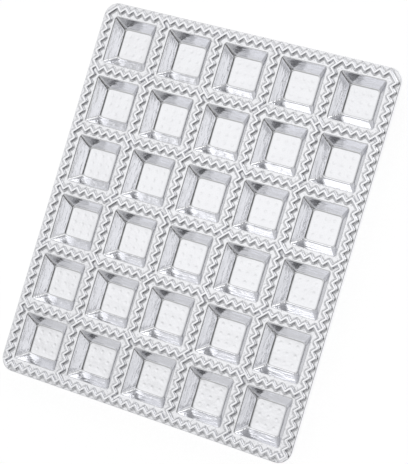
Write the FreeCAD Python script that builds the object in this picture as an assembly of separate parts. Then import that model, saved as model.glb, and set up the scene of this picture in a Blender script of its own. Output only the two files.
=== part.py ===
import FreeCAD, Part
import math
import os

from FreeCAD import Vector

# Ravioli mould, cast in one piece. Sizes are in millimetres.
# Square pockets stand in columns along X and rows along Y, each fenced by a zigzag cutting
# ridge that it shares with its neighbours. Z is up, and the mould rests on the undersides of
# its pockets at Z = 0, with the middle of the tray over the origin.

# Driving dimensions
column_count = 5
row_count = 6
cell_pitch = 39.0  # centre of one pocket to the centre of the next
strokes_per_cell = 13  # straight strokes of zigzag along one cell, an odd number
ridge_height = 1.6  # crest above the land
crest_width = 0.5  # flat along the top of the ridge
notch_land = 0.24  # least length that a flank keeps at its foot in a tight corner
pocket_land = 0.9  # flat strip between the foot of the ridge and a pocket's mouth
edge_land = 0.4  # flat strip between the foot of the ridge and the edge of the tray
pocket_depth = 8.4  # land to pocket floor
pocket_lean = 34.4  # degrees that a pocket's walls lean out
wall = 1.5  # thickness of the casting
rim_depth = 3.3  # land to the lower edge of the rim
rim_width = 2.0  # thickness of the rim
corner_radius = 9.0  # corners of the tray, seen from above

# The zigzag: each stroke runs at 45 degrees, from one side of the cell's edge to the other
stroke_step = cell_pitch / strokes_per_cell
swing = stroke_step / 2
stroke_length = stroke_step * math.sqrt(2)
crest_half = crest_width / 2
foot_half = (stroke_length - notch_land) / 2
flank_run = foot_half - crest_half
foot_reach = swing + crest_half * math.sqrt(2) + flank_run

# The pockets
lean = math.tan(math.radians(pocket_lean))
mouth_half = cell_pitch / 2 - foot_reach - pocket_land
floor_half = mouth_half - pocket_depth * lean
shell_shift = wall / math.cos(math.radians(pocket_lean))

# The tray
grid_x = column_count * cell_pitch / 2
grid_y = row_count * cell_pitch / 2
tray_x = grid_x + foot_reach + edge_land
tray_y = grid_y + foot_reach + edge_land

# Levels
floor_z = wall
land_z = floor_z + pocket_depth
crest_z = land_z + ridge_height
web_z = land_z - wall
rim_z = land_z - rim_depth


def unit(start, end):
    """Direction from one point to the next."""
    return (end - start).normalize()


def outward(direction):
    """The right-hand normal, which points out of a loop that runs anticlockwise."""
    return Vector(direction.y, -direction.x, 0)


def lifted(points, z):
    """The same outline at height z."""
    return [Vector(p.x, p.y, z) for p in points]


def rectangle(half_x, half_y, z):
    """Corners of a centred rectangle, anticlockwise."""
    return [
        Vector(-half_x, -half_y, z),
        Vector(half_x, -half_y, z),
        Vector(half_x, half_y, z),
        Vector(-half_x, half_y, z),
    ]


def flat_face(points):
    """A plane face inside a closed outline, with repeated points left out."""
    distinct = []
    for point in points:
        if all(point.distanceToPoint(other) > 1e-6 for other in distinct):
            distinct.append(point)
    return Part.Face(Part.makePolygon(distinct + distinct[:1]))


def prismoid(lower, upper):
    """A solid with flat sides between two outlines that have matching points."""
    faces = [flat_face(lower), flat_face(upper)]
    for i in range(len(lower)):
        faces.append(flat_face([lower[i - 1], lower[i], upper[i], upper[i - 1]]))
    solid = Part.makeSolid(Part.makeShell(faces))
    if solid.Volume < 0:
        solid.reverse()
    return solid


def rounded_prism(half_x, half_y, radius, low, high):
    """An upright block with rounded corners."""
    box = Part.makeBox(2 * half_x, 2 * half_y, high - low, Vector(-half_x, -half_y, low))
    upright = [e for e in box.Edges if abs(e.Vertexes[0].Z - e.Vertexes[1].Z) > 1e-6]
    return box.makeFillet(radius, upright)


def corner_gap(column, row):
    """Distance from a cell's corner to its first tooth.

    Cells alternate like a chessboard: one kind is cut across each corner by a stroke of double
    length, the other by a stroke of single length.
    """
    return 3 * swing if (column + row) % 2 == 0 else swing


def zigzag(half_x, half_y, gaps):
    """The ridge's centre line around a rectangle, anticlockwise from its lower left corner.

    gaps has the corner gap at each corner in the same order. Every other tooth points out.
    """
    corners = rectangle(half_x, half_y, 0)
    points = []
    for i in range(4):
        start, end = corners[i], corners[(i + 1) % 4]
        along = unit(start, end)
        first, last = gaps[i], gaps[(i + 1) % 4]
        strokes = round(((end - start).Length - first - last) / stroke_step)
        for k in range(strokes + 1):
            side = swing if k % 2 == 0 else -swing
            points.append(start + along * (first + k * stroke_step) + outward(along) * side)
    return points


def ridge_flank(line, side):
    """The ridge's crest edge and foot edge beside its centre line.

    side is 1 for the flank outside the loop and -1 for the one inside. Where the ridge turns
    around a tooth's tip, its foot is bevelled, so there the crest point is repeated and the two
    outlines keep matching points.
    """
    crest, foot = [], []
    bevel = flank_run * (2 - math.sqrt(2))
    for i in range(len(line)):
        before = unit(line[i - 1], line[i])
        after = unit(line[i], line[(i + 1) % len(line)])
        mitre = (outward(before) + outward(after)) * side
        crest_point = line[i] + mitre * crest_half
        foot_point = line[i] + mitre * foot_half
        turn = before.cross(after).z
        if turn * side > 0:
            crest += [crest_point, crest_point]
            foot += [foot_point - before * bevel, foot_point + after * bevel]
        else:
            crest.append(crest_point)
            foot.append(foot_point)
    return lifted(foot, land_z), lifted(crest, crest_z)


def cell_centre(column, row):
    """Middle of a cell. Row 0 is the one at the far side, +Y."""
    x = (column + 0.5) * cell_pitch - grid_x
    y = grid_y - (row + 0.5) * cell_pitch
    return Vector(x, y, 0)


def pocket_block(half_at_land, low, high):
    """A square block whose sides lean like the pocket's walls."""
    low_half = half_at_land - (land_z - low) * lean
    high_half = half_at_land + (high - land_z) * lean
    return prismoid(rectangle(low_half, low_half, low), rectangle(high_half, high_half, high))


def cell_hollow(gap):
    """What is open above one cell: the space inside its ridge, and the pocket."""
    line = zigzag(cell_pitch / 2, cell_pitch / 2, [gap] * 4)
    foot, crest = ridge_flank(line, -1)
    fence = prismoid(foot, crest)
    pocket = pocket_block(mouth_half, floor_z, crest_z)
    return fence.fuse(pocket)


def ridge_field():
    """The outer flank of the ridge around the whole tray, solid inside, within the tray's edge."""
    last_column, last_row = column_count - 1, row_count - 1
    gaps = [
        corner_gap(0, last_row),
        corner_gap(last_column, last_row),
        corner_gap(last_column, 0),
        corner_gap(0, 0),
    ]
    foot, crest = ridge_flank(zigzag(grid_x, grid_y, gaps), 1)
    return prismoid(foot, crest).common(rounded_prism(tray_x, tray_y, corner_radius, rim_z, crest_z))


def tray_plate():
    """The flat plate with its rim turned down all round."""
    plate = rounded_prism(tray_x, tray_y, corner_radius, rim_z, land_z)
    inner_radius = corner_radius - rim_width
    underside = rounded_prism(tray_x - rim_width, tray_y - rim_width, inner_radius, rim_z, web_z)
    return plate.cut(underside)


def ravioli_mould():
    """The whole casting."""
    cup = pocket_block(mouth_half + shell_shift, 0, land_z)
    hollows = {gap: cell_hollow(gap) for gap in (swing, 3 * swing)}
    cups, tools = [], []
    for column in range(column_count):
        for row in range(row_count):
            centre = cell_centre(column, row)
            cups.append(cup.translated(centre))
            tools.append(hollows[corner_gap(column, row)].translated(centre))
    body = tray_plate().fuse(cups + [ridge_field()])
    return body.cut(tools)


os.makedirs("parts", exist_ok=True)
mould = ravioli_mould()
mould.exportStep("parts/ravioli_mould.step")
print("ravioli_mould", len(mould.Solids), "solid", round(mould.Volume), "mm3", mould.isValid())
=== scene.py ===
"""A ravioli mould: one bright aluminium casting with zigzag ridges round square pockets.

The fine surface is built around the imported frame, in metres, and stands in a white studio.
"""

import itertools
import math

import bmesh
import bpy
from bpy.props import FloatProperty, FloatVectorProperty, IntProperty, PointerProperty
from mathutils import Euler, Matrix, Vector
from mathutils.geometry import delaunay_2d_cdt


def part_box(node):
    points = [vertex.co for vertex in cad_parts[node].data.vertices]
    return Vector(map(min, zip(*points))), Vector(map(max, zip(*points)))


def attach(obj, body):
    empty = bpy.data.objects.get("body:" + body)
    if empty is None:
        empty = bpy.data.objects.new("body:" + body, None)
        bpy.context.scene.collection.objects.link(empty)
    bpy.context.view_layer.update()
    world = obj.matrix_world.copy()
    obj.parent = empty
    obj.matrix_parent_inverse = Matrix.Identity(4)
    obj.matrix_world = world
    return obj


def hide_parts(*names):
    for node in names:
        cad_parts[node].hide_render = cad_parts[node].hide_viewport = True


bl_info = {
    "name": "Ravioli Mould",
    "version": (1, 0, 0),
    "blender": (4, 5, 0),
    "location": "3D View > Sidebar > Mould",
    "description": "Builds a cast aluminium ravioli mould and the studio it is seen in",
    "category": "Object",
}

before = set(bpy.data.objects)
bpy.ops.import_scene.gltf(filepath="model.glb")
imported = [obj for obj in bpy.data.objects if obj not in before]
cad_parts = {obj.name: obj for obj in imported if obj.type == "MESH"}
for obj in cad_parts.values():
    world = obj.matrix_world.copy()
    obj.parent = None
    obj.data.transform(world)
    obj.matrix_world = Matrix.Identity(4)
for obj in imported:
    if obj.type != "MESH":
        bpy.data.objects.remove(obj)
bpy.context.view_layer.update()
FRAME_NODE = "ravioli_mould"
MM = 0.001

# Points nearer than this are welded
WELD = 2e-6

# A flat fill covers only the inside of its outline, and joins points nearer than this many mm
FILL_INSIDE = 1
FILL_TOLERANCE = 1e-5

# Steps in each rounding: along sections of the surface first, then round corners seen from above
RIDGE_STEPS = 2
MOUTH_STEPS = 3
FLOOR_STEPS = 4
UNDER_STEPS = 3
EDGE_STEPS = 3
TOOTH_STEPS = 3
POCKET_CORNER_STEPS = 4
RIM_CORNER_STEPS = 12

# From a cell's corner to its first tooth, in strokes, in the two kinds of cell
LONG_GAP = 1.5
SHORT_GAP = 0.5

# The zigzag has a tooth or a notch where the sine of its bend is more than this
SHARP = 0.5

# The notches fill up towards the ridge's foot by this power, and near the crest the rounding of a
# tip is at most this many times the distance from the centre line
FILL_CURVE = 0.8
TIP_LIMIT = 1.5

# The outer flank keeps off the tray's edge, by this much more at each level nearer to the crest
EDGE_SPARE = 0.04 * MM

DIMPLE_SIDES = 12
DIMPLE_SHARES = (1.0, 0.75, 0.5, 0.25)

# How much flat faces count for in the shading of the faces next to them
FLAT_FACE_WEIGHT = 100

# The metal's noises, with scales per metre, and the middle of their range
CLOUDS = {"Scale": 90.0, "Detail": 3.0}
GRAIN = {"Scale": 500.0, "Detail": 4.0, "Roughness": 0.6}
STREAKS = {"Scale": 600.0, "Detail": 2.0}
# These patches make the painted shade on the flanks spread unevenly over the land
SHADE_PATCHES = {"Scale": 700.0, "Detail": 2.0}
NOISE_MEAN = 0.5

# How much of the dull metal, and what spread of roughness, the clouds bring
DULL_SHARE = 0.5
ROUGHNESS_SPREAD = 0.12

# Where the painted shade on the flanks fades in, above the land, and the painted highlight, below the
# crest
PAINTED_SHADE_FADE = (0.1 * MM, 0.4 * MM)
PAINTED_HIGHLIGHT_FADE = (0.3 * MM, 0.05 * MM)

FLOOR_SIZE = 60.0
FLOOR_GAP = 0.1 * MM

# Azimuth, elevation and spread in degrees, and strength, which is below zero for a dark screen.
# The azimuth counts from the right of the tray towards its back.
SOFT_LIGHTS = {
    "overhead light": (192.6, 68.3, 13.5, 0.83),
    "screen beside the overhead light": (215.8, 64.5, 16.1, -0.76),
    "small light at the back left": (113.7, 31.6, 5.2, 1.42),
    "screen round the small light": (121.5, 34.3, 9.1, -0.52),
    "light at the back": (90.5, 31.5, 7.7, 0.62),
    "low light at the back right": (58.5, 6.0, 7.2, 1.69),
    "screen below the camera": (12.4, 50.4, 19.3, -0.72),
    "low glow on the right": (355.6, -25.6, 30.2, 0.17),
    "screen at the front right": (330.0, 17.3, 15.0, -0.79),
    "screen at the front": (290.0, 29.9, 10.3, -0.76),
}


def length(name, description, default):
    """A property that holds a length, given in millimetres."""
    return FloatProperty(
        name=name, description=description, default=default * MM, min=0, precision=5,
        unit="LENGTH", subtype="DISTANCE",
    )


def colour(name, description, default):
    """A property that holds a colour."""
    return FloatVectorProperty(
        name=name, description=description, default=default, min=0, max=1, subtype="COLOR"
    )


def amount(name, description, default, **limits):
    """A property that holds a plain number."""
    return FloatProperty(name=name, description=description, default=default, **limits)


class MouldSizes(bpy.types.PropertyGroup):
    """What the casting measures. Its outline and height come from the frame."""

    columns: IntProperty(name="Columns", description="Pockets across the tray", default=5, min=1)
    rows: IntProperty(name="Rows", description="Pockets along the tray", default=6, min=1)
    strokes: IntProperty(
        name="Strokes", description="Straight strokes of zigzag along one pocket", default=13, min=3
    )
    ridge_height: length("Ridge Height", "Crest above the land", 1.6)
    crest_width: length("Crest Width", "Blunt top of the ridge, before its rounding", 1.25)
    crest_rounding: length("Crest Rounding", "Radius along the edges of the crest", 0.2)
    shoulder_reach: length("Shoulder Reach", "From the centre line to the end of the steep flank", 0.95)
    shoulder_height: length("Shoulder Height", "End of the steep flank above the land", 0.4)
    shoulder_rounding: length("Shoulder Rounding", "Radius where the flank turns shallow", 0.8)
    foot_reach: length("Foot Reach", "From the centre line to the end of the shallow flank", 2.0)
    foot_rounding: length("Foot Rounding", "Radius between the flank and the land", 1.5)
    foot_fill: length("Foot Fill", "Radius in the notches between teeth, at the foot", 1.0)
    tip_rounding: length("Tip Rounding", "Radius that the tips of the teeth gain", 0.15)
    mouth_half: length("Mouth", "Half the width of a pocket at the land", 14.9)
    pocket_depth: length("Pocket Depth", "Land to pocket floor", 8.4)
    pocket_lean: FloatProperty(
        name="Pocket Lean", description="How far the pocket walls lean out",
        default=math.radians(30.8), subtype="ANGLE", unit="ROTATION",
    )
    mouth_corner: length("Mouth Corner", "Radius where two pocket walls meet at the land", 1.2)
    floor_corner: length("Floor Corner", "Radius where two pocket walls meet at the floor", 2.6)
    mouth_rounding: length("Mouth Rounding", "Radius along a pocket's mouth", 0.8)
    floor_rounding: length("Floor Rounding", "Radius between pocket wall and floor", 1.9)
    dimple_pitch: length("Dimple Pitch", "Between the shallow dimples in a pocket floor", 5.5)
    dimple_radius: length("Dimple Radius", "Radius of a dimple", 1.5)
    dimple_depth: length("Dimple Depth", "Depth of a dimple", 0.075)
    wall: length("Wall", "Thickness of the casting", 1.5)
    under_rounding: length("Under Rounding", "Radii on the underside of the pockets", 1.2)
    rim_depth: length("Rim Depth", "Land to the lower edge of the rim", 3.3)
    rim_width: length("Rim Width", "Thickness of the rim", 2.0)
    edge_rounding: length("Edge Rounding", "Radii on the edges of the rim", 0.35)
    corner_radius: length("Corner Radius", "Corners of the tray, seen from above", 9.0)


class MouldFinish(bpy.types.PropertyGroup):
    """The look of the metal."""

    metal: colour("Metal", "Bright aluminium", (0.941, 0.945, 0.97))
    dull_metal: colour("Dull Metal", "Aluminium where it has dulled", (0.876, 0.879, 0.906))
    # Painted highlight: a brighter colour on the crests stands in for the light that they catch
    painted_highlight_metal: colour("Painted Highlight Metal", "Metal painted brighter on the crests as a highlight", (0.968, 0.972, 0.998))
    # Painted shade: a darker colour on the ridge's flanks stands in for the shade that falls on them
    painted_shade_metal: colour("Painted Flank Shade", "Metal painted darker on the ridge's flanks as shade", (0.74, 0.745, 0.775))
    shade_patch_rise: length("Shade Patch Rise", "How unevenly the painted flank shade spreads over the land", 2.4)
    roughness: amount("Roughness", "Mean roughness of the metal", 0.1, min=0, max=1)
    grain_depth: length("Grain Depth", "Depth of the tumbled grain", 0.05)
    streak_depth: length("Streak Depth", "Depth of the streaks along the walls", 0.2)
    streak_shape: FloatVectorProperty(
        name="Streak Shape", description="How tightly the streaks follow each other along each axis",
        default=(0.2, 0.2, 1.0), subtype="XYZ",
    )


class StudioSettings(bpy.types.PropertyGroup):
    """The camera, the floor and the lights."""

    camera_place: FloatVectorProperty(
        name="Camera", description="Where the camera stands",
        default=(0.41840, -0.01472, 0.94428), subtype="TRANSLATION", unit="LENGTH",
    )
    camera_turn: FloatVectorProperty(
        name="Camera Turn", description="How the camera is turned",
        default=(math.radians(7.77), math.radians(22.50), math.radians(17.97)),
        subtype="EULER", unit="ROTATION",
    )
    focal_length: amount("Focal Length", "In millimetres, on a 36 mm sensor", 130.48, min=1)
    floor_colour: colour("Floor", "Colour of the floor and of the light", (1.0, 1.0, 1.0))
    floor_glow: amount("Floor Glow", "Glow that keeps the floor white outside the shadow", 1.2, min=0)
    shadow: amount("Shadow", "Share of the floor that keeps the object's shadow", 0.3, min=0, max=1)
    fill: amount("Fill", "Plain light from all round", 0.715, min=0)
    dimmest: amount("Dimmest", "The least light that comes from any side", 0.08, min=0)


def turned(direction, angle):
    """A plane direction turned anticlockwise."""
    c, s = math.cos(angle), math.sin(angle)
    return Vector((c * direction.x - s * direction.y, s * direction.x + c * direction.y))


def at_height(points, z):
    """Plane points as points in space."""
    return [Vector((p.x, p.y, z)) for p in points]


def moved(points, offset):
    """The same points, shifted."""
    return [p + offset for p in points]


class Casting:
    """Gathers the faces of one closed surface."""

    def __init__(self):
        self.points = []
        self.faces = []

    def add(self, points):
        """Stores points and gives their numbers."""
        first = len(self.points)
        self.points += points
        return list(range(first, len(self.points)))

    def loft(self, rings):
        """Joins closed rings with as many points each, one to the next."""
        numbers = [self.add(ring) for ring in rings]
        for near, far in zip(numbers, numbers[1:]):
            for i in range(len(near)):
                self.faces.append((near[i - 1], near[i], far[i], far[i - 1]))

    def fill(self, outline, holes=()):
        """A flat surface inside an outline and outside its holes."""
        loops = [outline, *holes]
        points = [p for loop in loops for p in loop]
        numbers = self.add(points)
        counter = itertools.count()
        rings = [[next(counter) for _ in loop] for loop in loops]
        plan = [(p / MM).xy for p in points]
        _, _, triangles, sources, _, owners = delaunay_2d_cdt(
            plan, [], rings, FILL_INSIDE, FILL_TOLERANCE
        )
        for triangle, owner in zip(triangles, owners):
            if owner == [0]:
                self.faces.append(tuple(numbers[sources[i][0]] for i in triangle))

    def fan(self, ring, centre):
        """Closes a ring with triangles around its centre."""
        numbers = self.add(ring)
        (middle,) = self.add([centre])
        for i in range(len(numbers)):
            self.faces.append((numbers[i - 1], numbers[i], middle))

    def build(self, name):
        """The finished object, its points welded and its faces turned outwards."""
        mesh = bpy.data.meshes.new(name)
        mesh.from_pydata(self.points, [], self.faces)
        shell = bmesh.new()
        shell.from_mesh(mesh)
        bmesh.ops.remove_doubles(shell, verts=shell.verts, dist=WELD)
        bmesh.ops.recalc_face_normals(shell, faces=shell.faces)
        for face in shell.faces:
            face.smooth = True
        open_edges = [e for e in shell.edges if not e.is_manifold]
        if open_edges:
            raise RuntimeError(f"{name} isn't closed: {len(open_edges)} edges are open")
        shell.to_mesh(mesh)
        shell.free()
        thing = bpy.data.objects.new(name, mesh)
        bpy.context.scene.collection.objects.link(thing)
        return thing


def rounded_ring(half_x, half_y, radius, z, steps=POCKET_CORNER_STEPS):
    """A rectangle with rounded corners, anticlockwise."""
    ring = []
    for quarter, (sx, sy) in enumerate(((1, 1), (-1, 1), (-1, -1), (1, -1))):
        centre = Vector((sx * (half_x - radius), sy * (half_y - radius)))
        for k in range(steps + 1):
            out = turned(Vector((1, 0)), math.pi / 2 * (quarter + k / steps))
            ring.append(centre + out * radius)
    return at_height(ring, z)


def rounded_profile(points, roundings):
    """A line through (reach, height) points. roundings has each inner point's radius and steps."""
    line = [Vector(points[0])]
    for i, (radius, steps) in enumerate(roundings, start=1):
        before, corner, after = (Vector(p) for p in points[i - 1 : i + 2])
        arriving = (corner - before).normalized()
        leaving = (after - corner).normalized()
        sweep = math.atan2(arriving.cross(leaving), arriving.dot(leaving))
        start = corner - arriving * radius * math.tan(abs(sweep) / 2)
        side = math.copysign(1, sweep)
        centre = start + turned(arriving, side * math.pi / 2) * radius
        for k in range(steps + 1):
            line.append(centre + turned(start - centre, sweep * k / steps))
    line.append(Vector(points[-1]))
    return line


def zigzag(half_x, half_y, gaps, step):
    """The ridge's centre line round a rectangle, anticlockwise from its lower left corner.

    gaps has the distance from each corner to its first tooth. A stroke of double length gets a
    point in its middle, where another ridge may meet it.
    """
    swing = step / 2
    corners = [Vector((sx * half_x, sy * half_y)) for sx, sy in ((-1, -1), (1, -1), (1, 1), (-1, 1))]
    points = []
    for i in range(4):
        start, end = corners[i], corners[(i + 1) % 4]
        along = (end - start).normalized()
        out = turned(along, -math.pi / 2)
        first, last = gaps[i], gaps[(i + 1) % 4]
        strokes = round(((end - start).length - first - last) / step)
        if first > step:
            points.append(start + (along - out) * swing)
        for k in range(strokes + 1):
            side = swing if k % 2 == 0 else -swing
            points.append(start + along * (first + k * step) + out * side)
    return points


def contour(line, side, reach, fill, tip):
    """The line that keeps at one distance beside a closed zigzag line.

    side is 1 for its left and -1 for its right. The line goes round the tips of teeth in arcs of
    radius reach + tip, and the notches between teeth are filled to the radius fill.
    """
    count = len(line)
    heading = [(line[(i + 1) % count] - line[i]).normalized() for i in range(count)]
    normal = [turned(h, side * math.pi / 2) for h in heading]
    turn = [side * heading[i - 1].cross(heading[i]) for i in range(count)]
    arcs = []
    for i, point in enumerate(line):
        mitre = normal[i - 1] + normal[i]
        if turn[i] > SHARP:
            arcs.append([point + mitre * (reach + fill), fill, -normal[i - 1], -normal[i]])
        elif turn[i] < -SHARP:
            arcs.append([point - mitre * tip, reach + tip, normal[i - 1], normal[i]])
        else:
            arcs.append([point, reach, normal[i], normal[i]])
    bridge_narrow_notches(arcs, normal, turn, side, fill)
    points = []
    for bend, (centre, radius, start, end) in zip(turn, arcs):
        sweep = math.atan2(start.cross(end), start.dot(end))
        steps = TOOTH_STEPS if abs(bend) > SHARP else 0
        for step in range(steps + 1):
            share = step / steps if steps else 0
            points.append(centre + turned(start, sweep * share) * radius)
    return points


def bridge_narrow_notches(arcs, normal, turn, side, fill):
    """Fills each notch that is too small for the radius by one arc from one tip to the next.

    Each of the arcs has its centre, its radius and the directions of its start and end. Two bends
    the same way, as at a cell's corner, make one notch and share its arc.
    """
    count = len(arcs)
    for i in range(count):
        if turn[i] < SHARP or turn[i - 1] > SHARP:
            continue
        j = (i + 1) % count if turn[(i + 1) % count] > SHARP else i
        near, far = arcs[i - 1], arcs[(j + 1) % count]
        gap = far[0] - near[0]
        ball = near[1] + fill
        if gap.length / 2 > ball * normal[i - 1].dot(gap.normalized()):
            continue
        out = turned(gap.normalized(), side * math.pi / 2)
        centre = (near[0] + far[0]) / 2 + out * math.sqrt(ball**2 - gap.length_squared / 4)
        to_near, to_far = (near[0] - centre).normalized(), (far[0] - centre).normalized()
        near[3], far[2] = -to_near, -to_far
        if i == j:
            arcs[i] = [centre, fill, to_near, to_far]
        else:
            arcs[i] = [centre, fill, to_near, -out]
            arcs[j] = [centre, fill, -out, to_far]


def kept_within(point, half_x, half_y, radius):
    """The nearest place to a point that isn't outside a rounded rectangle."""
    core = Vector(
        (
            max(radius - half_x, min(half_x - radius, point.x)),
            max(radius - half_y, min(half_y - radius, point.y)),
        )
    )
    away = point - core
    return core + away * (radius / away.length) if away.length > radius else point


class MouldShape:
    """Works out the casting's surfaces from its sizes and the frame's box."""

    def __init__(self, sizes):
        low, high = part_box(FRAME_NODE)
        width, depth = high.x - low.x, high.y - low.y
        self.sizes = sizes
        self.pitch = (depth - width) / (sizes.rows - sizes.columns)
        self.step = self.pitch / sizes.strokes
        self.grid_x, self.grid_y = sizes.columns * self.pitch / 2, sizes.rows * self.pitch / 2
        self.tray_x, self.tray_y = width / 2, depth / 2
        self.base_z, self.crest_z = low.z, high.z
        self.land_z = self.crest_z - sizes.ridge_height
        self.floor_z = self.land_z - sizes.pocket_depth
        self.web_z = self.land_z - sizes.wall
        self.rim_z = self.land_z - sizes.rim_depth
        self.lean = math.tan(sizes.pocket_lean)
        self.floor_half = sizes.mouth_half - sizes.pocket_depth * self.lean
        self.casting = Casting()
        self.cup_mouths = []

    def gap(self, column, row):
        """Distance from a cell's corner to its first tooth. Cells alternate like a chessboard."""
        return self.step * (LONG_GAP if (column + row) % 2 == 0 else SHORT_GAP)

    def ridge_levels(self):
        """(reach, height, fill, tip) from the ridge's crest to its foot."""
        s = self.sizes
        radii = (s.crest_rounding, s.shoulder_rounding, s.foot_rounding)
        profile = rounded_profile(
            [
                (0, self.crest_z),
                (s.crest_width / 2, self.crest_z),
                (s.shoulder_reach, self.land_z + s.shoulder_height),
                (s.foot_reach, self.land_z),
                (self.pitch / 2, self.land_z),
            ],
            [(radius, RIDGE_STEPS) for radius in radii],
        )[:-1]
        full = profile[-1].x
        return [
            (p.x, p.y, s.foot_fill * (p.x / full) ** FILL_CURVE, min(s.tip_rounding, TIP_LIMIT * p.x))
            for p in profile
        ]

    def cell_rings(self, gap):
        """The ridge's inner flank round one cell, from crest to foot."""
        line = zigzag(self.pitch / 2, self.pitch / 2, [gap] * 4, self.step)
        return [at_height(contour(line, 1, reach, *radii), z) for reach, z, *radii in self.ridge_levels()]

    def pocket_rings(self):
        """The pocket's surface from its mouth to its floor."""
        s = self.sizes
        profile = rounded_profile(
            [
                (s.mouth_half + 2 * s.mouth_rounding, self.land_z),
                (s.mouth_half, self.land_z),
                (self.floor_half, self.floor_z),
                (self.floor_half - 2 * s.floor_rounding, self.floor_z),
            ],
            [(s.mouth_rounding, MOUTH_STEPS), (s.floor_rounding, FLOOR_STEPS)],
        )
        rings = []
        for half, z in profile[1:-1]:
            height = z - self.floor_z
            corner = s.floor_corner + (s.mouth_corner - s.floor_corner) * height / s.pocket_depth
            corner += half - (self.floor_half + height * self.lean)
            rings.append(rounded_ring(half, half, corner, z))
        return rings

    def cup_rings(self):
        """The underside of a pocket, from the web down."""
        s = self.sizes
        shift = s.wall / math.cos(s.pocket_lean)
        top_half = s.mouth_half + shift - (self.land_z - self.web_z) * self.lean
        low_half = s.mouth_half + shift - (self.land_z - self.base_z) * self.lean
        profile = rounded_profile(
            [
                (top_half + 2 * s.under_rounding, self.web_z),
                (top_half, self.web_z),
                (low_half, self.base_z),
                (low_half - 2 * s.under_rounding, self.base_z),
            ],
            [(s.under_rounding, UNDER_STEPS)] * 2,
        )
        corner = s.mouth_corner + s.wall
        return [rounded_ring(p.x, p.x, corner, p.y) for p in profile[1:-1]]

    def rim_rings(self):
        """The rim, from the land over its outside to the web's underside."""
        s = self.sizes
        inner = -s.rim_width
        profile = rounded_profile(
            [
                (-2 * s.edge_rounding, self.land_z),
                (0, self.land_z),
                (0, self.rim_z),
                (inner, self.rim_z),
                (inner, self.web_z),
                (inner - 2 * s.edge_rounding, self.web_z),
            ],
            [(s.edge_rounding, EDGE_STEPS)] * 4,
        )
        return [
            rounded_ring(
                self.tray_x + p.x, self.tray_y + p.x, s.corner_radius + p.x, p.y, RIM_CORNER_STEPS
            )
            for p in profile[1:-1]
        ]

    def dimple_rings(self):
        """One shallow dimple, from its edge inwards."""
        s = self.sizes
        rings = []
        for share in DIMPLE_SHARES:
            z = self.floor_z - s.dimple_depth * (1 - share**2) ** 2
            spokes = [turned(Vector((1, 0)), 2 * math.pi * k / DIMPLE_SIDES) for k in range(DIMPLE_SIDES)]
            rings.append(at_height([spoke * s.dimple_radius * share for spoke in spokes], z))
        return rings

    def cell_centre(self, column, row):
        """The middle of a cell. Rows count from the back."""
        return Vector(
            ((column + 0.5) * self.pitch - self.grid_x, self.grid_y - (row + 0.5) * self.pitch, 0)
        )

    def add_cells(self):
        """Every cell's ridge flank, land and pocket."""
        s = self.sizes
        flanks = {gap: self.cell_rings(gap) for gap in (self.step * SHORT_GAP, self.step * LONG_GAP)}
        pocket, dimple, cup = self.pocket_rings(), self.dimple_rings(), self.cup_rings()
        dimple_low = Vector((0, 0, self.floor_z - s.dimple_depth))
        places = [
            Vector((x * s.dimple_pitch, y * s.dimple_pitch, 0)) for x in (-1, 0, 1) for y in (-1, 0, 1)
        ]
        for column, row in itertools.product(range(s.columns), range(s.rows)):
            centre = self.cell_centre(column, row)
            flank = [moved(ring, centre) for ring in flanks[self.gap(column, row)]]
            walls = [moved(ring, centre) for ring in pocket]
            dents = [[moved(ring, centre + place) for ring in dimple] for place in places]
            under = [moved(ring, centre) for ring in cup]
            self.casting.loft(flank)
            self.casting.fill(flank[-1], [walls[0]])
            self.casting.loft(walls)
            self.casting.fill(walls[-1], [dent[0] for dent in dents])
            for dent, place in zip(dents, places):
                self.casting.loft(dent)
                self.casting.fan(dent[-1], dimple_low + centre + place)
            self.casting.loft(under)
            self.casting.fill(under[-1])
            self.cup_mouths.append(under[0])

    def add_border(self):
        """The ridge's outer flank, the land beside it, the rim and the web's underside."""
        s = self.sizes
        last_column, last_row = s.columns - 1, s.rows - 1
        corner_cells = ((0, last_row), (last_column, last_row), (last_column, 0), (0, 0))
        gaps = [self.gap(column, row) for column, row in corner_cells]
        line = zigzag(self.grid_x, self.grid_y, gaps, self.step)
        levels = self.ridge_levels()
        flank = []
        for i, (reach, z, *radii) in enumerate(levels):
            inset = s.edge_rounding + EDGE_SPARE * (len(levels) - i)
            limits = (self.tray_x - inset, self.tray_y - inset, s.corner_radius - inset)
            ring = [kept_within(p, *limits) for p in contour(line, -1, reach, *radii)]
            flank.append(at_height(ring, z))
        rim = self.rim_rings()
        self.casting.loft(flank)
        self.casting.fill(rim[0], [flank[-1]])
        self.casting.loft(rim)
        self.casting.fill(rim[-1], self.cup_mouths)

    def build(self):
        """The whole casting as one object."""
        self.add_cells()
        self.add_border()
        return self.casting.build("mould_casting")


class Wire:
    """A shader socket that takes part in sums."""

    def __init__(self, shader, socket):
        self.shader = shader
        self.socket = socket

    def maths(self, operation, *inputs):
        """The result of a Math node."""
        return self.shader.node("ShaderNodeMath", {"operation": operation}, self, *inputs)

    def __add__(self, other):
        return self.maths("ADD", other)

    def __sub__(self, other):
        return self.maths("SUBTRACT", other)

    def __rsub__(self, other):
        return self.shader.node("ShaderNodeMath", {"operation": "SUBTRACT"}, other, self)

    def __mul__(self, other):
        return self.maths("MULTIPLY", other)

    __radd__ = __add__
    __rmul__ = __mul__


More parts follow.
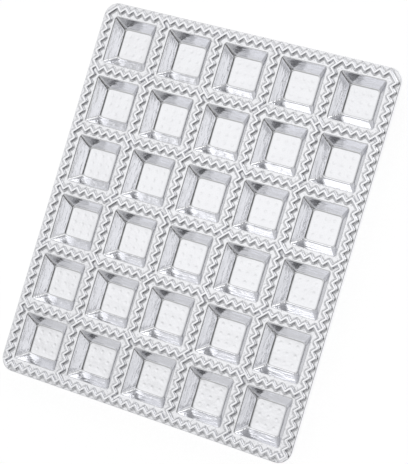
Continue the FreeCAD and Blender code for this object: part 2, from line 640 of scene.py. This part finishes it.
class Shader:
    """Builds the nodes of one material or of the world."""

    def __init__(self, owner):
        owner.use_nodes = True
        self.tree = owner.node_tree
        self.tree.nodes.clear()

    def node(self, kind, settings, *inputs, output=0, **named):
        """Adds a node, sets it up, fills its sockets and gives one of its outputs."""
        node = self.tree.nodes.new(kind)
        for name, value in settings.items():
            setattr(node, name, value)
        pairs = [(node.inputs[i], value) for i, value in enumerate(inputs)]
        pairs += [(node.inputs[name.replace("_", " ")], value) for name, value in named.items()]
        for socket, value in pairs:
            if isinstance(value, Wire):
                self.tree.links.new(value.socket, socket)
            elif value is not None:
                socket.default_value = value
        return Wire(self, node.outputs[output]) if node.outputs else None

    def noise(self, place, values):
        """A noise over the surface, with the node's values by name."""
        return self.node("ShaderNodeTexNoise", {}, Vector=place, **values)

    def mix(self, share, first, second):
        """A colour between two others. The Mix node's colours come after its plain inputs."""
        first, second = (c if isinstance(c, Wire) else (*c, 1) for c in (first, second))
        unused = [None] * 5
        return self.node("ShaderNodeMix", {"data_type": "RGBA"}, share, *unused, first, second, output=2)

    def fade(self, value, start, full):
        """Goes smoothly from 0 to 1 as a value goes from start to full."""
        return self.node("ShaderNodeMapRange", {"interpolation_type": "SMOOTHSTEP"}, value, start, full)


def tint_with_painted_light(shader, place, clouds, finish, shape):
    """Bright metal with dull clouds, painted shade on the flanks that spreads in patches, and a painted
    highlight on the crests.
    """
    level = shader.node("ShaderNodeSeparateXYZ", {}, place, output="Z")
    # Painted shade: the flanks are coloured darker from just above the land, in uneven patches
    uneven = level + (shader.noise(place, SHADE_PATCHES) - NOISE_MEAN) * finish.shade_patch_rise
    flank = shader.fade(uneven, *(shape.land_z + rise for rise in PAINTED_SHADE_FADE))
    # Painted highlight: the crests are coloured brighter just below the crest height
    crest = shader.fade(level, *(shape.crest_z - drop for drop in PAINTED_HIGHLIGHT_FADE))
    tint = shader.mix(clouds * DULL_SHARE, finish.metal, finish.dull_metal)
    tint = shader.mix(flank, tint, finish.painted_shade_metal)
    return shader.mix(crest, tint, finish.painted_highlight_metal)


def aluminium(finish, shape):
    """Cast aluminium with a tumbled grain and faint level streaks on the pocket walls."""
    material = bpy.data.materials.new("cast_aluminium")
    shader = Shader(material)
    place = shader.node("ShaderNodeTexCoord", {}, output="Object")
    layers = shader.node("ShaderNodeVectorMath", {"operation": "MULTIPLY"}, place, finish.streak_shape)
    clouds = shader.noise(place, CLOUDS)
    grain = shader.noise(place, GRAIN)
    streaks = shader.noise(layers, STREAKS)
    height = grain * finish.grain_depth + streaks * finish.streak_depth
    bump = shader.node("ShaderNodeBump", {}, Strength=1.0, Distance=1.0, Height=height)
    metal = shader.node(
        "ShaderNodeBsdfPrincipled", {}, Metallic=1.0, Normal=bump,
        Base_Color=tint_with_painted_light(shader, place, clouds, finish, shape),
        Roughness=finish.roughness + (clouds - NOISE_MEAN) * ROUGHNESS_SPREAD,
    )
    shader.node("ShaderNodeOutputMaterial", {}, metal)
    return material


class MOULD_OT_casting(bpy.types.Operator):
    """Builds the aluminium casting in place of the frame's solid"""

    bl_idname = "mould.casting"
    bl_label = "Build Casting"

    def execute(self, context):
        scene = context.scene
        shape = MouldShape(scene.mould_sizes)
        casting = shape.build()
        casting.data.materials.append(aluminium(scene.mould_finish, shape))
        modifier = casting.modifiers.new("flat_faces_lead", "WEIGHTED_NORMAL")
        modifier.weight = FLAT_FACE_WEIGHT
        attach(casting, "root")
        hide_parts(FRAME_NODE)
        return {"FINISHED"}


def white_to_the_eye(shader, seen, otherwise):
    """Mixes two shaders, the first for camera, glossy and transmission rays."""
    path = shader.node("ShaderNodeLightPath", {})
    outputs = path.socket.node.outputs
    camera, glossy, through = (
        Wire(shader, outputs[name]) for name in ("Is Camera Ray", "Is Glossy Ray", "Is Transmission Ray")
    )
    share = (camera + glossy).maths("MAXIMUM", through)
    return shader.node("ShaderNodeMixShader", {}, share, otherwise, seen)


def studio_white(studio):
    """The floor's material: white to the eye, apart from a share that keeps the shadow."""
    material = bpy.data.materials.new("studio_white")
    shader = Shader(material)
    white = (*studio.floor_colour, 1)
    matt = shader.node("ShaderNodeBsdfDiffuse", {}, Color=white)
    glow = shader.node("ShaderNodeEmission", {}, Color=white, Strength=studio.floor_glow)
    shaded = shader.node("ShaderNodeMixShader", {}, studio.shadow, glow, matt)
    shader.node("ShaderNodeOutputMaterial", {}, white_to_the_eye(shader, shaded, matt))
    return material


def studio_sky(studio):
    """A world of plain light, with soft lights and dark screens in it."""
    world = bpy.data.worlds.new("studio")
    shader = Shader(world)
    towards = shader.node("ShaderNodeTexCoord", {}, output="Generated")
    light = studio.fill
    for azimuth, elevation, spread, strength in SOFT_LIGHTS.values():
        pole = Euler((0, -math.radians(elevation), math.radians(azimuth))).to_matrix().col[0]
        facing = shader.node(
            "ShaderNodeVectorMath", {"operation": "DOT_PRODUCT"}, towards, pole, output="Value"
        )
        narrow = 1 / math.radians(spread) ** 2
        light = light + strength * (narrow * facing - narrow).maths("EXPONENT")
    light = light.maths("MAXIMUM", studio.dimmest)
    sky = shader.node("ShaderNodeBackground", {}, Color=(*studio.floor_colour, 1), Strength=light)
    shader.node("ShaderNodeOutputWorld", {}, sky)
    return world


def studio_camera(studio):
    """The camera, where the photograph was taken from."""
    camera = bpy.data.objects.new("camera", bpy.data.cameras.new("camera"))
    camera.location = studio.camera_place
    camera.rotation_euler = Euler(studio.camera_turn)
    camera.data.lens = studio.focal_length
    camera.data.sensor_fit = "AUTO"
    return camera


class MOULD_OT_studio(bpy.types.Operator):
    """Builds the floor, the camera and the lights"""

    bl_idname = "mould.studio"
    bl_label = "Build Studio"

    def execute(self, context):
        scene = context.scene
        studio = scene.mould_studio
        bpy.ops.mesh.primitive_plane_add(size=FLOOR_SIZE, location=(0, 0, -FLOOR_GAP))
        floor = context.object
        floor.name = "studio_floor"
        floor.data.materials.append(studio_white(studio))
        scene.camera = studio_camera(studio)
        scene.collection.objects.link(scene.camera)
        scene.world = studio_sky(studio)
        scene.view_settings.view_transform = "Standard"
        return {"FINISHED"}


class MOULD_PT_panel(bpy.types.Panel):
    """Lists what the mould and its studio are built from"""

    bl_label = "Ravioli Mould"
    bl_idname = "MOULD_PT_panel"
    bl_space_type = "VIEW_3D"
    bl_region_type = "UI"
    bl_category = "Mould"

    def draw(self, context):
        scene = context.scene
        for group, operator in PANEL_ROWS:
            box = self.layout.box()
            settings = getattr(scene, group)
            for name in settings.__annotations__:
                box.prop(settings, name)
            if operator:
                box.operator(operator)


PANEL_ROWS = (("mould_sizes", None), ("mould_finish", "mould.casting"), ("mould_studio", "mould.studio"))
CLASSES = (MouldSizes, MouldFinish, StudioSettings, MOULD_OT_casting, MOULD_OT_studio, MOULD_PT_panel)


def register():
    """Adds the classes, and the settings that each scene holds."""
    for item in CLASSES:
        bpy.utils.register_class(item)
    bpy.types.Scene.mould_sizes = PointerProperty(type=MouldSizes)
    bpy.types.Scene.mould_finish = PointerProperty(type=MouldFinish)
    bpy.types.Scene.mould_studio = PointerProperty(type=StudioSettings)


def unregister():
    """Takes the settings and the classes away again."""
    for name in ("mould_studio", "mould_finish", "mould_sizes"):
        delattr(bpy.types.Scene, name)
    for item in reversed(CLASSES):
        bpy.utils.unregister_class(item)


def main():
    """Builds everything."""
    register()
    bpy.ops.mould.casting()
    bpy.ops.mould.studio()


if __name__ == "__main__":
    main()
